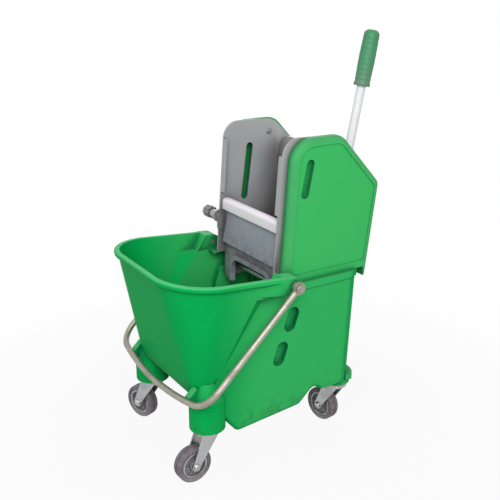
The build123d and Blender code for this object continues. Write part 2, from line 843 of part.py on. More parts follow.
def make_back_panel():
    """Sloping rear closure between the side plates."""
    foot = belly_rear(belly_top_z) - tub_wall
    rise = (cheek_shoulder[0] - cheek_rear_low[0]) / (cheek_shoulder[1] - cheek_rear_low[1])
    top = foot + rise * (back_panel_top_z - belly_top_z)
    sheet = back_panel_sheet
    section = make_face(Polyline(
        (foot, belly_top_z),
        (foot + sheet, belly_top_z),
        (top + sheet, back_panel_top_z),
        (top, back_panel_top_z),
        close=True))
    panel = along_x(section, -plate_inner_x, plate_inner_x)
    roll = rod_x(sheet, -plate_inner_x, plate_inner_x, (top + sheet / 2, back_panel_top_z))
    return panel + roll


def make_bush():
    """Flanged bush in the right plate."""
    inner = plate_inner_x - bush_flange
    outer = plate_inner_x + plate_sheet + bush_flange
    body = rod_x(bush_diameter / 2, inner, outer, press_pivot)
    flange = rod_x(bush_flange_diameter / 2, inner, plate_inner_x, press_pivot)
    return body + flange - rod_x(shaft_diameter / 2 + bush_clearance, inner, outer, press_pivot)


def make_tie_rod(centre):
    reach = plate_inner_x + plate_sheet + nut_height
    return rod_x(tie_rod_diameter / 2, -reach, reach, centre)


def make_nuts():
    """Hexagon nuts on both ends of the tie rods."""
    nuts = []
    for centre in (front_tie_rod, rear_tie_rod):
        hexagon = RegularPolygon(nut_across / 2, 6, major_radius=False)
        face = Pos(*centre) * (hexagon - Circle(tie_rod_diameter / 2))
        x0 = plate_inner_x + plate_sheet
        nut = along_x(face, x0, x0 + nut_height)
        nuts += [nut, left_of(nut)]
    return Compound(children=[solid for nut in nuts for solid in nut.solids()])


def make_screws():
    """Pan-head screws on the inner faces of the side plates."""
    screws = []
    for centre in cover_screws_at:
        head = rod_x(screw_head_diameter / 2, plate_inner_x - screw_head_height, plate_inner_x, centre)
        head = chamfer(head.edges().group_by(Axis.X)[0], screw_head_height / 2)
        screws += [head, left_of(head)]
    return Compound(children=[solid for screw in screws for solid in screw.solids()])


# Press
def leaning(piece, lean):
    """Turn a piece built upright over the press pivot back by lean degrees."""
    return piece.rotate(Axis((0, *press_pivot), (1, 0, 0)), -lean)


press_half = plate_inner_x - press_side_gap
socket_half = max(socket_boss_width, socket_diameter) / 2
lever_x = press_half - socket_half
hub_end = lever_x - socket_half - press_hub_gap


def make_press_shaft():
    reach = plate_inner_x + plate_sheet + bush_flange + shaft_end_gap
    shaft = rod_x(shaft_diameter / 2, -reach, reach, press_pivot)
    return chamfer(shaft.edges().filter_by(GeomType.CIRCLE), shaft_chamfer)


def make_press_plate():
    """Ribbed and slotted plate on a hub tube."""
    y, z = press_pivot
    hub = rod_x(press_hub_diameter / 2, -press_half, hub_end, press_pivot)
    half = press_half
    notch_z = z + socket_reach + socket_clear
    top_z = z + press_height
    face = rounded([
        (-half, z, 0),
        (hub_end, z, 0),
        (hub_end, notch_z, notch_round),
        (half, notch_z, notch_round),
        (half, top_z, press_top_round),
        (-half, top_z, press_top_round),
    ])
    first_row = z + press_hub_diameter + press_slot_length
    for row in range(press_slot_rows):
        for column in range(press_slot_columns):
            x = (column - (press_slot_columns - 1) / 2) * press_slot_pitch
            slot = Rot(0, 0, 90) * SlotOverall(press_slot_length, press_slot_width)
            face = face - Pos(x, first_row + row * press_slot_row_pitch) * slot
    plate = along_y(face, y - press_sheet / 2, y + press_sheet / 2)
    ribs = Part()
    for index in range(press_rib_count):
        x = (index - (press_rib_count - 1) / 2) * 2 * press_slot_pitch
        ribs += Pos(x, y + press_sheet / 2 + press_rib_height / 2, z + press_height / 2) * Box(
            press_rib_width, press_rib_height, press_height - 2 * press_top_round)
    bore = rod_x(shaft_diameter / 2, -far / 2, far / 2, press_pivot)
    return leaning(plate + ribs + hub - bore, press_lean)


def make_lever_socket():
    """Boss on the shaft with a receiver for the lever tube."""
    half = socket_boss_width / 2
    boss = rod_x(socket_boss_diameter / 2, lever_x - half, lever_x + half, press_pivot)
    receiver = Pos(lever_x, *press_pivot) * upright(socket_diameter / 2, 0, socket_reach)
    bore = Pos(lever_x, *press_pivot) * upright(lever_diameter / 2, lever_foot, socket_reach)
    shaft = rod_x(shaft_diameter / 2, lever_x - socket_boss_width, lever_x + socket_boss_width, press_pivot)
    return leaning(boss + receiver - bore - shaft, lever_lean)


def make_lever_tube():
    tube = upright(lever_diameter / 2, lever_foot, lever_length - grip_cap)
    return leaning(Pos(lever_x, *press_pivot) * tube, lever_lean)


def make_grip():
    """Contoured hand grip, closed at the top."""
    low = lever_length - grip_length
    neck = grip_neck_diameter / 2
    swell = grip_diameter / 2
    bore = lever_diameter / 2
    waist = low + grip_collar
    crown = lever_length - grip_dome
    palm = (waist + crown) / 2
    dome = grip_dome * (1 - math.sqrt(0.5))
    profile = [
        Line((bore, low), (swell, low)),
        Line((swell, low), (swell, waist)),
        ThreePointArc((swell, waist), (neck, (waist + palm) / 2), (swell, palm)),
        ThreePointArc((swell, palm), (neck, (palm + crown) / 2), (swell, crown)),
        ThreePointArc(
            (swell, crown), (swell - dome, crown + grip_dome - dome), (swell - grip_dome, lever_length)),
        Line((swell - grip_dome, lever_length), (0, lever_length)),
        Line((0, lever_length), (0, lever_length - grip_cap)),
        Line((0, lever_length - grip_cap), (bore, lever_length - grip_cap)),
        Line((bore, lever_length - grip_cap), (bore, low)),
    ]
    grip = revolve(Plane.XZ * make_face(profile), axis=Axis.Z)
    return leaning(Pos(lever_x, *press_pivot) * grip, lever_lean)


def make_buffer():
    """Rubber stop on the right plate behind the edge of the press plate, outside the path of the lever."""
    y, z = press_pivot
    back = y + press_sheet / 2 + buffer_gap
    inner = lever_x + lever_diameter / 2 + buffer_side_gap
    block = Pos((plate_inner_x + inner) / 2, back + buffer_depth / 2, z + buffer_height) * Box(
        plate_inner_x - inner, buffer_depth, buffer_size)
    block = fillet(block.edges().filter_by(Axis.X), buffer_round)
    return leaning(block, press_lean)


# Lock knob
def make_spindle():
    """Spindle through the plate ear with a tongue on the inside."""
    outer = cheek_outer_x + knob_gap + knob_length / 2
    inner = plate_inner_x - tongue_gap - tongue_sheet
    collar = plate_inner_x + plate_sheet + tongue_gap
    rod = rod_x(spindle_diameter / 2, inner, outer, knob_at)
    ring = rod_x(spindle_diameter / 2 + ear_rim / 2, collar, cheek_outer_x + knob_gap, knob_at)
    y, z = knob_at
    tongue = stadium((y, z), (y, z - tongue_length), tongue_width)
    return left_of(rod + ring + along_x(tongue, inner, inner + tongue_sheet))


def make_knob():
    """Fluted knob on the spindle end."""
    x0 = cheek_outer_x + knob_gap
    body = rod_x(knob_diameter / 2, x0, x0 + knob_length, knob_at)
    body = fillet(body.edges().group_by(Axis.X)[-1], knob_length / 5)
    for index in range(knob_flutes):
        turn = math.radians(360 / knob_flutes * (index + 0.5))
        reach = knob_diameter / 2 + knob_flute_depth
        centre = (knob_at[0] + reach * math.cos(turn), knob_at[1] + reach * math.sin(turn))
        body = body - rod_x(2 * knob_flute_depth, x0, x0 + knob_length, centre)
    body = body - rod_x(spindle_diameter / 2, x0, x0 + knob_length / 2, knob_at)
    return left_of(body)


def export(shape, name):
    export_step(shape, "parts/" + name + ".step")


os.makedirs("parts", exist_ok=True)
export(make_tub(), "tub")
export(make_bail(), "bail_handle")
cheek_cover = make_cheek_cover()
bail_pin = make_bail_pin()
bush = make_bush()
buffer_block = make_buffer()
for side, place in (("right", lambda piece: piece), ("left", left_of)):
    export(place(bail_pin), "bail_pin_" + side)
    export(place(cheek_cover), "cheek_cover_" + side)
    export(place(make_side_plate(side == "left")), "side_plate_" + side)
    export(place(bush), "shaft_bush_" + side)
    export(place(buffer_block), "stop_buffer_" + side)
export(make_front_wall(), "front_wall")
export(make_lip(), "wall_lip")
export(make_drain(), "drain_floor")
export(make_back_panel(), "back_panel")
export(make_tie_rod(front_tie_rod), "tie_rod_front")
export(make_tie_rod(rear_tie_rod), "tie_rod_rear")
export(make_nuts(), "tie_rod_nuts")
export(make_screws(), "cover_screws")
export(make_press_shaft(), "press_shaft")
export(make_press_plate(), "press_plate")
export(make_lever_socket(), "lever_socket")
export(make_lever_tube(), "lever_tube")
export(make_grip(), "lever_grip")
export(make_spindle(), "lock_spindle")
export(make_knob(), "lock_knob")
caster_pieces = {
    "stem": make_stem(),
    "fork": make_fork(),
    "axle": make_axle(),
    "wheel_core": make_core(),
    "tyre": make_tyre(),
}
for corner, x, y in (
    ("front_right", *front_stem),
    ("front_left", -front_stem[0], front_stem[1]),
    ("rear_right", *rear_stem),
    ("rear_left", -rear_stem[0], rear_stem[1]),
):
    for piece_name, piece in caster_pieces.items():
        turned = piece if piece_name == "stem" else Rot(0, 0, rest_swivel[corner]) * piece
        export(Pos(x, y, 0) * turned, "caster_" + corner + "_" + piece_name)
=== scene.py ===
# %% [markdown]
# # A mop bucket with a lever wringer
# The solids of this object come packed from its construction source and stay where they are. This lesson
# gives every one of them the surface of the real material, and models by hand what a solid model leaves
# plain: grooved tyres, ribbed wheel centres, cross-slotted screws, the ringed hand grip. All lengths are in
# metres.

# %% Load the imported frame
import json
import math

import bpy
from mathutils import Matrix, Vector

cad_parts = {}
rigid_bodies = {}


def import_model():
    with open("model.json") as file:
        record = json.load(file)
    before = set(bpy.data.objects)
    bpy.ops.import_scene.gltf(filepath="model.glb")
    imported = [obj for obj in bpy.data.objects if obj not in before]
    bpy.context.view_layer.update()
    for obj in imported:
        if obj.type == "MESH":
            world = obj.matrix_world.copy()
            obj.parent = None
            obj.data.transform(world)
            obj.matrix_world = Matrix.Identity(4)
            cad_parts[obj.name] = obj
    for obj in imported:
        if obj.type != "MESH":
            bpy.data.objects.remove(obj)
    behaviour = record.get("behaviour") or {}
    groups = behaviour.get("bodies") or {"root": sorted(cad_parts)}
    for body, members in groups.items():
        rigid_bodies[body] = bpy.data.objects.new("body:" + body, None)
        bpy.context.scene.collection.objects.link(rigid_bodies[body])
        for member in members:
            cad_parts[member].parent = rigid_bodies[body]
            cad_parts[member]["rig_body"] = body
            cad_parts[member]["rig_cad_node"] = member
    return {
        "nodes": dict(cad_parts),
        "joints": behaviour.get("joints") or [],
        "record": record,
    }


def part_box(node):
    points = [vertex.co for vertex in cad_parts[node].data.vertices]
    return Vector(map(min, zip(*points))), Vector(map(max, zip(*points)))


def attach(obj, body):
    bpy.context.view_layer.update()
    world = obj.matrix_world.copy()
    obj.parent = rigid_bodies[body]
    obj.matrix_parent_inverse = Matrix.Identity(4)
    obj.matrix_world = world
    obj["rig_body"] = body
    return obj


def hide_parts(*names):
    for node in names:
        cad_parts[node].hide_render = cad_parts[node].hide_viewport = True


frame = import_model()
nodes = frame["nodes"]
joints = {joint["name"]: joint for joint in frame["joints"]}
slots = {part["node"]: part["material_slot"] for part in frame["record"]["subparts"]}
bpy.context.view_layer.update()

# %% [markdown]
# ## The camera
# The photograph looks at the front right corner from a little above. A camera could be placed by eye, but
# here its direction, distance and lens were fitted to the rim, the wheels and the lever, so the object lands
# on the same pixels as in the photograph.

# %% Camera
view_azimuth = 57.6
view_elevation = 19.3
view_distance = 1.6332
view_target = Vector((0.0332, -0.0109, 0.4236))
view_lens = 57.55
sensor_width = 36.0


def direction(azimuth, elevation):
    """The way from the object to a viewer, in degrees: azimuth 0 is the front and 90 the right."""
    a = math.radians(azimuth)
    e = math.radians(elevation)
    return Vector((math.sin(a) * math.cos(e), -math.cos(a) * math.cos(e), math.sin(e)))


def look_back(thing, way):
    """Turns a camera or lamp that stands this way from the object so that it looks at the object."""
    thing.rotation_euler = (-way).to_track_quat("-Z", "Y").to_euler()


view_way = direction(view_azimuth, view_elevation)
bpy.ops.object.camera_add(location=view_target + view_way * view_distance)
camera = bpy.context.object
look_back(camera, view_way)
camera.data.sensor_width = sensor_width
camera.data.lens = view_lens
bpy.context.scene.camera = camera
bpy.context.scene.view_settings.view_transform = "Standard"
print("camera at", [round(value, 3) for value in camera.location])

# %% [markdown]
# ## Wiring materials with arithmetic
# A procedural material is a web of nodes. Drawn by hand it is quick to read but slow to write, so one small
# class stands for an output socket: adding or multiplying two of them adds a Math node, and every other
# node comes from one method.


# %% The wire class
class Wire:
    """One output socket of a node tree. Arithmetic on it adds Math nodes to that tree."""

    def __init__(self, tree, socket=None):
        self.tree = tree
        self.socket = socket

    def node(self, kind, settings=None, sockets=None, out=0):
        """A new node of this kind: settings first, then a value or a wire for each socket."""
        made = self.tree.nodes.new("ShaderNode" + kind)
        for name, value in (settings or {}).items():
            setattr(made, name, value)
        for name, value in (sockets or {}).items():
            if isinstance(value, Wire):
                self.tree.links.new(value.socket, made.inputs[name])
            else:
                made.inputs[name].default_value = value
        return Wire(self.tree, made.outputs[out])

    def maths(self, operation, first, second=0.0):
        return self.node("Math", {"operation": operation}, {0: first, 1: second})

    def __add__(self, other):
        return self.maths("ADD", self, other)

    def __sub__(self, other):
        return self.maths("SUBTRACT", self, other)

    def __rsub__(self, other):
        return self.maths("SUBTRACT", other, self)

    def __mul__(self, other):
        return self.maths("MULTIPLY", self, other)

    __radd__ = __add__
    __rmul__ = __mul__

    def __abs__(self):
        return self.maths("ABSOLUTE", self)

    def larger(self, other):
        return self.maths("MAXIMUM", self, other)

    def part(self, axis):
        """The X, Y or Z of a vector."""
        return self.node("SeparateXYZ", {}, {0: self}, out=axis)

    def step(self, low, high):
        """0 below low, 1 above high, with a smooth rise between them."""
        return self.node("MapRange", {"interpolation_type": "SMOOTHSTEP"},
                         {"Value": self, "From Min": low, "From Max": high})

    def tint(self, start, end):
        """The colour start where this wire is 0 and the colour end where it is 1."""
        # Sockets 6 and 7 and output 2 are those that a Mix node keeps for colours.
        return self.node("Mix", {"data_type": "RGBA"}, {0: self, 6: start, 7: end}, out=2)

    def noise(self, size, detail=2.0, stretch=(1.0, 1.0, 1.0)):
        """Cloudy value with lumps of about this size; stretch makes them longer along an axis."""
        along = tuple(1.0 / (size * factor) for factor in stretch)
        placed = self.node("Mapping", {}, {"Vector": self, "Scale": along})
        return placed.node("TexNoise", {}, {"Vector": placed, "Scale": 1.0, "Detail": detail})

    def relief(self, strength, depth, **under):
        """A normal bumped by this wire as a height of this depth, over the given Normal if there is one."""
        return self.node("Bump", {}, {"Strength": strength, "Distance": depth, "Height": self, **under})


print("wires ready")

# %% [markdown]
# ## Floor and light
# The photograph is a cut-out on white. A pale floor under an even white sky keeps the colours close to how
# they are written. One large soft lamp beside the camera models the right side, and two weaker ones keep the
# prow and the far side readable. Looked at, also in the mirror of the steel, the floor is lifted towards
# white, more so away from the object, so no horizon shows; the light it throws back up stays that of a grey
# floor.

# %% World
sky_level = 0.52
white = (1.0, 1.0, 1.0, 1.0)


def seen(wire):
    """1 for rays that show a surface, directly, mirrored or through glass; 0 for those that light others."""
    mask = wire.node("LightPath", out="Is Camera Ray")
    for ray in ("Is Glossy Ray", "Is Transmission Ray"):
        mask = mask.larger(wire.node("LightPath", out=ray))
    return mask


sky = bpy.data.worlds.new("white_studio")
bpy.context.scene.world = sky
sky.use_nodes = True
sky_strength = seen(Wire(sky.node_tree)) * (1.0 - sky_level) + sky_level
background = sky.node_tree.nodes["Background"]
background.inputs["Color"].default_value = white
sky.node_tree.links.new(sky_strength.socket, background.inputs["Strength"])
print("sky level", sky_level)

# %% Lamps
lamp_target = Vector((0.0, 0.0, 0.35))


def add_lamp(name, azimuth, elevation, distance, size, power):
    """A square soft lamp that looks at the object from a direction given in degrees."""
    way = direction(azimuth, elevation)
    bpy.ops.object.light_add(type="AREA", location=lamp_target + way * distance)
    lamp = bpy.context.object
    lamp.name = name
    look_back(lamp, way)
    lamp.data.size = size
    lamp.data.energy = power


add_lamp("key_lamp", azimuth=63, elevation=33, distance=2.6, size=1.6, power=48)
add_lamp("front_lamp", azimuth=0, elevation=26, distance=3.0, size=1.8, power=11)
add_lamp("back_lamp", azimuth=235, elevation=16, distance=3.0, size=1.8, power=14)

# %% Floor
floor_size = 60.0
floor_grey = (0.40, 0.40, 0.40, 1.0)
floor_roughness = 0.9
floor_near = 0.35
floor_far = 1.1
floor_lift = 0.93


def new_finish(name, **constants):
    """A material whose Principled shader has these fixed values; returns it with its Object coordinates."""
    made = bpy.data.materials.new(name)
    made.use_nodes = True
    shader = made.node_tree.nodes["Principled BSDF"]
    for socket, value in constants.items():
        shader.inputs[socket.replace("_", " ")].default_value = value
    return made, Wire(made.node_tree).node("TexCoord", out="Object")


bpy.ops.mesh.primitive_plane_add(size=floor_size)
floor = bpy.context.object
floor.name = "studio_floor"
floor_paint, floor_place = new_finish("pale_floor", Base_Color=floor_grey, Roughness=floor_roughness,
                                      Specular_IOR_Level=0.0)
floor_reach = floor_place.node("VectorMath", {"operation": "LENGTH"}, {0: floor_place}, out="Value")
floor_white = seen(floor_place) * (floor_reach.step(floor_near, floor_far) * (1.0 - floor_lift) + floor_lift)
floor_tree = floor_paint.node_tree
lit = Wire(floor_tree, floor_tree.nodes["Principled BSDF"].outputs[0])
glow = floor_place.node("Emission", {}, {"Color": white, "Strength": 1.0})
floor_mix = floor_place.node("MixShader", {}, {0: floor_white, 1: lit, 2: glow})
floor_tree.links.new(floor_mix.socket, floor_tree.nodes["Material Output"].inputs["Surface"])
floor.data.materials.append(floor_paint)
print("floor", floor_size, "m wide")

# %% [markdown]
# ## Moulded plastic
# The tub, the cheeks and the wringer frame are injection mouldings. New plastic is never one flat colour:
# the skin has a fine orange-peel grain, the tone drifts a little, use leaves scuffs, and edges are worn
# paler; on the tub the paler edges are partly a painted highlight. The worn edges come from comparing a
# rounded normal with the true one, so they follow the shape.
# Hollows get painted shade, found by how much of the sky is hidden there. Flat sides that look straight left
# or right take a tint of their own, more so towards the rear of the tub. Faces that look up get a painted
# highlight on the tub and painted shade on the cheeks. Splashes dry below a band of heights in patches; on
# the front wall the band also holds an even painted shade under the apron. Each could be painted on a
# picture by hand; as masks worked out from the shape they fit every piece. A cut is the pair of values
# between which a mask fades in.

# %% Masks of wear and of edges, also used for a painted highlight
shading_samples = 6
edge_cut = (0.02, 0.3)
scratch_size = 0.0016
scratch_stretch = (1.0, 9.0, 22.0)
scratch_cut = (0.62, 0.76)
scuff_size = 0.05
scuff_cut = (0.5, 0.68)


def rubbed_edges(place, radius):
    """A rounded normal, and a mask that is 1 on edges sharper than this radius."""
    soft = place.node("Bevel", {"samples": shading_samples}, {"Radius": radius})
    true = place.node("NewGeometry", out="Normal")
    same = place.node("VectorMath", {"operation": "DOT_PRODUCT"}, {0: soft, 1: true}, out="Value")
    return soft, (1 - same).step(*edge_cut)


def scuffs_of(place):
    """Fine long scratches that gather in patches."""
    scratches = place.noise(scratch_size, detail=3.0, stretch=scratch_stretch).step(*scratch_cut)
    return scratches * place.noise(scuff_size).step(*scuff_cut)


print("masks of wear ready")

# %% Masks of splashes, tints and painted light and shade
hollow_cut = (0.10, 0.42)
side_cut = (0.95, 1.0)
ledge_cut = (0.35, 0.95)
splash_size = 0.018
splash_cut = (0.42, 0.66)


def hollows_of(place, reach):
    """1 where surfaces within this reach hide much of the sky."""
    hidden = 1 - place.node("AmbientOcclusion", {"samples": shading_samples}, {"Distance": reach}, out="AO")
    return hidden.step(*hollow_cut)


def flat_sides_of(place, along=None):
    """1 on faces that look straight left or right; along is a band of Y over which it fades in."""
    mask = abs(place.node("NewGeometry", out="Normal").part("X")).step(*side_cut)
    if along:
        mask = mask * place.part("Y").step(*along)
    return mask


def ledges_of(place):
    """1 on faces that look up."""
    return place.node("NewGeometry", out="Normal").part("Z").step(*ledge_cut)


def splash_and_shade_of(place, band, even_part):
    """Darkening that fades out over a band of heights: patches over an even part of this strength; splashes
    on most pieces, on the front wall also painted shade under the apron.
    """
    patches = place.noise(splash_size, detail=5.0).step(*splash_cut)
    return (1 - place.part("Z").step(*band)) * (patches * (1 - even_part) + even_part)


print("masks of dirt ready")

# %% Plastic
plastic_ior = 1.49
tone_size = 0.16
tone_cut = (0.28, 0.72)
wear_size = 0.02
wear_cut = (0.38, 0.66)
peel_size = 0.0011
peel_strength = 0.22
peel_depth = 0.0002
scuff_height = 0.6
plastic_shares = {"top_face_shading": 0.6, "hollow_shade": 0.8, "scuffs": 0.35, "wear": 0.55, "splash_and_shade": 0.6}
plastic_roughening = {"tone": 0.10, "scuffs": 0.20, "wear": 0.12, "splash_and_shade": 0.2}


def connect(made, **wires):
    """Links each wire to the shader socket of that name."""
    shader = made.node_tree.nodes["Principled BSDF"]
    for socket, wire in wires.items():
        made.node_tree.links.new(wire.socket, shader.inputs[socket.replace("_", " ")])
    return made


def moulded_plastic(name, colour, deep, rubbed_and_highlight, gloss, edge_radius, hollow_shade, hollow=0.03, shine=0.3, side_tint=None,
                    side_tint_along=None, top_face_shading=None, splash_and_shade=None, low_band=None, even_part=0.0):
    """Plastic whose tone drifts from deep to colour, paler from wear on edges and scuffs and, on the tub, as
    a painted highlight on edges; painted shade in its hollows, a tint on flat sides, painted light and shade
    on faces that look up, and splashes below a band of heights, on the front wall also painted shade."""
    made, place = new_finish(name, IOR=plastic_ior, Specular_IOR_Level=shine)
    tone = place.noise(tone_size, detail=3.0)
    scuffs = scuffs_of(place)
    soft, edge = rubbed_edges(place, edge_radius)
    worn_and_lit = edge * place.noise(wear_size, detail=4.0).step(*wear_cut)
    skin = tone.step(*tone_cut).tint(deep, colour)
    if side_tint:
        # Flat sides that look straight left or right take this tint.
        skin = flat_sides_of(place, side_tint_along).tint(skin, side_tint)
    if top_face_shading:
        # Painted light and shade: faces that look up turn lighter on the tub, a highlight, and darker on the
        # cheeks.
        skin = (ledges_of(place) * plastic_shares["top_face_shading"]).tint(skin, top_face_shading)
    # Painted shade: hollows are darkened towards this colour.
    skin = (hollows_of(place, hollow) * plastic_shares["hollow_shade"]).tint(skin, hollow_shade)
    # Edges get this paler colour from wear; on the tub it is partly a painted highlight.
    skin = (scuffs * plastic_shares["scuffs"] + worn_and_lit * plastic_shares["wear"]).tint(skin, rubbed_and_highlight)
    rough = (tone * plastic_roughening["tone"] + scuffs * plastic_roughening["scuffs"]
             + worn_and_lit * plastic_roughening["wear"] + (gloss - plastic_roughening["tone"] / 2))
    if splash_and_shade:
        # Splashes below the band; on the front wall the darker band is also painted shade under the apron.
        dirt_and_shade = splash_and_shade_of(place, low_band, even_part)
        skin = (dirt_and_shade * plastic_shares["splash_and_shade"]).tint(skin, splash_and_shade)
        rough = rough + dirt_and_shade * plastic_roughening["splash_and_shade"]
    height = place.noise(peel_size, detail=1.0) + scuffs * scuff_height
    return connect(made, Base_Color=skin, Roughness=rough,
                   Normal=height.relief(peel_strength, peel_depth, Normal=soft))


print("plastic drifts over", tone_size, "m")

# %% The green plastics
tub_green = moulded_plastic(
    "tub_green", gloss=0.54, shine=0.05, edge_radius=0.0016,
    # On the tub the paler edge colour is partly a painted highlight.
    colour=(0.002, 0.395, 0.083, 1), deep=(0.001, 0.360, 0.076, 1), rubbed_and_highlight=(0.07, 0.52, 0.17, 1),
    hollow_shade=(0.002, 0.12, 0.045, 1), side_tint=(0.034, 0.455, 0.118, 1), side_tint_along=(-0.18, -0.04),
    # Faces that look up get a painted highlight on the tub.
    top_face_shading=(0.14, 0.58, 0.25, 1), splash_and_shade=(0.03, 0.17, 0.06, 1), low_band=(0.07, 0.17))
cheek_green = moulded_plastic(
    "cheek_green", gloss=0.50, shine=0.12, edge_radius=0.0014,
    colour=(0.064, 0.405, 0.132, 1), deep=(0.050, 0.375, 0.118, 1), rubbed_and_highlight=(0.12, 0.52, 0.20, 1),
    # Faces that look up get painted shade on the cheeks.
    hollow_shade=(0.006, 0.17, 0.05, 1), side_tint=(0.044, 0.475, 0.120, 1), top_face_shading=(0.065, 0.32, 0.125, 1))
print("greens:", tub_green.name, cheek_green.name)

# %% The grey plastics
frame_grey = moulded_plastic(
    # Painted shade in the frame's hollows reaches further, darkening the deep inside of the basket.
    "frame_grey", gloss=0.42, edge_radius=0.0010, hollow=0.09,
    colour=(0.42, 0.425, 0.435, 1), deep=(0.37, 0.375, 0.385, 1), rubbed_and_highlight=(0.58, 0.58, 0.60, 1),
    hollow_shade=(0.07, 0.058, 0.058, 1))
wall_grey = moulded_plastic(
    "wall_grey", gloss=0.40, edge_radius=0.0010, hollow=0.06,
    colour=(0.37, 0.39, 0.475, 1), deep=(0.30, 0.315, 0.385, 1), rubbed_and_highlight=(0.60, 0.61, 0.66, 1),
    # The front wall is darker below the apron: painted shade under it, with splashes in patches; its hollows
    # get painted shade too.
    hollow_shade=(0.16, 0.12, 0.125, 1), splash_and_shade=(0.13, 0.105, 0.112, 1), low_band=(0.405, 0.47), even_part=0.5)
lip_pale = moulded_plastic(
    "lip_pale", gloss=0.38, edge_radius=0.0010,
    colour=(0.93, 0.88, 0.95, 1), deep=(0.84, 0.79, 0.87, 1), rubbed_and_highlight=(0.97, 0.95, 0.98, 1),
    hollow_shade=(0.50, 0.42, 0.50, 1))
knob_grey = moulded_plastic(
    "knob_grey", gloss=0.45, edge_radius=0.0006,
    colour=(0.27, 0.275, 0.275, 1), deep=(0.22, 0.225, 0.225, 1), rubbed_and_highlight=(0.32, 0.32, 0.33, 1),
    hollow_shade=(0.03, 0.03, 0.03, 1))
wheel_grey = moulded_plastic(
    "wheel_grey", gloss=0.45, edge_radius=0.0006,
    colour=(0.60, 0.57, 0.60, 1), deep=(0.51, 0.485, 0.515, 1), rubbed_and_highlight=(0.70, 0.68, 0.70, 1),
    hollow_shade=(0.10, 0.095, 0.10, 1), splash_and_shade=(0.13, 0.12, 0.11, 1), low_band=(0.02, 0.05))
print("greys:", [made.name for made in (frame_grey, wall_grey, lip_pale, knob_grey, wheel_grey)])

# %% [markdown]
# ## Zinc-plated steel
# The bail, pins, shafts and caster forks are plated steel. Zinc settles on it in small crystals, so it is a
# metal whose tone and polish change from grain to grain, with dull patches where it has weathered. A plain
# metal with one roughness would be quicker, but it looks like chrome.

# %% Steel
crystals_per_metre = 240.0
patch_size = 0.03
patch_cut = (0.42, 0.66)
line_size = 0.0007
line_stretch = (14.0, 1.0, 1.0)
line_strength = 0.15
line_depth = 0.0001
steel_edge = 0.0006
edge_tone = (0.86, 0.86, 0.85, 1)
steel_shares = {"crystals": 0.30, "patches": 0.45, "edge": 0.5}
steel_roughening = {"crystals": 0.08, "patches": 0.16, "lines": 0.06}


def plated_steel(name, bright, dull, polish):
    """Zinc plating: crystal grains, dull patches, fine drawn lines and edges made bright by wear."""
    made, place = new_finish(name, Metallic=1.0)
    grains = place.node("TexVoronoi", {}, {"Vector": place, "Scale": crystals_per_metre}, out="Color")
    # A Math node turns the random colour of each grain into one value.
    crystals = grains * 1.0
    patches = place.noise(patch_size, detail=4.0).step(*patch_cut)
    lines = place.noise(line_size, stretch=line_stretch)
    soft, edge = rubbed_edges(place, steel_edge)
    tone = (crystals * steel_shares["crystals"] + patches * steel_shares["patches"]).tint(bright, dull)
    tone = (edge * steel_shares["edge"]).tint(tone, edge_tone)
    rough = (crystals * steel_roughening["crystals"] + patches * steel_roughening["patches"]
             + lines * steel_roughening["lines"] + polish)
    return connect(made, Base_Color=tone, Roughness=rough,
                   Normal=(lines + crystals).relief(line_strength, line_depth, Normal=soft))


bail_steel = plated_steel("bail_steel", polish=0.46,
                          bright=(0.40, 0.385, 0.325, 1), dull=(0.29, 0.275, 0.225, 1))
bright_steel = plated_steel("bright_steel", polish=0.30,
                            bright=(0.47, 0.48, 0.48, 1), dull=(0.355, 0.36, 0.365, 1))
dull_steel = plated_steel("dull_steel", polish=0.42,
                          bright=(0.38, 0.38, 0.395, 1), dull=(0.27, 0.27, 0.285, 1))
print("steels:", [made.name for made in (bail_steel, bright_steel, dull_steel)])

# %% [markdown]
# ## Coated tube, grip and rubber
# The lever is a tube with a pale baked coat, its grip a matt moulded sleeve, and the tyres and buffers are
# rubber. They share soft sheen and fine grain; what sets them apart is dust, chips and how rough they are.
# The grip could be one more plastic, but to the eye it is nearer to rubber, so it takes the same function.

# %% Lever coat
coat_ior = 1.5
coat_drift_size = 0.09
coat_peel_size = 0.0016
coat_strength = 0.2
coat_depth = 0.0002
coat_gloss = 0.26
chip_size = 0.0045
chip_cut = (0.72, 0.75)
chip_height = 0.8
coat_drift_share = 0.16
coat_roughening = {"drift": 0.12, "chips": 0.25}


def baked_coat(name, colour, chipped):
    """Pale stoving enamel with a slight orange peel and a few tiny chips."""
    made, place = new_finish(name, IOR=coat_ior)
    drift = place.noise(coat_drift_size, detail=3.0)
    chips = place.noise(chip_size, detail=4.0).step(*chip_cut)
    skin = (drift * coat_drift_share).tint(colour, chipped)
    rough = drift * coat_roughening["drift"] + chips * coat_roughening["chips"] + coat_gloss
    height = place.noise(coat_peel_size) - chips * chip_height
    return connect(made, Base_Color=chips.tint(skin, chipped), Roughness=rough,
                   Normal=height.relief(coat_strength, coat_depth))


lever_coat = baked_coat("lever_coat", colour=(0.745, 0.755, 0.775, 1), chipped=(0.48, 0.48, 0.50, 1))
print("coat:", lever_coat.name)

# %% Rubber
rubber_ior = 1.52
bloom_size = 0.012
bloom_cut = (0.4, 0.7)
rubber_grain = 0.0009
rubber_strength = 0.3
rubber_depth = 0.0003
rubber_shares = {"bloom": 0.30, "greying": 0.6}
rubber_roughening = {"bloom": 0.10, "grain": 0.08}


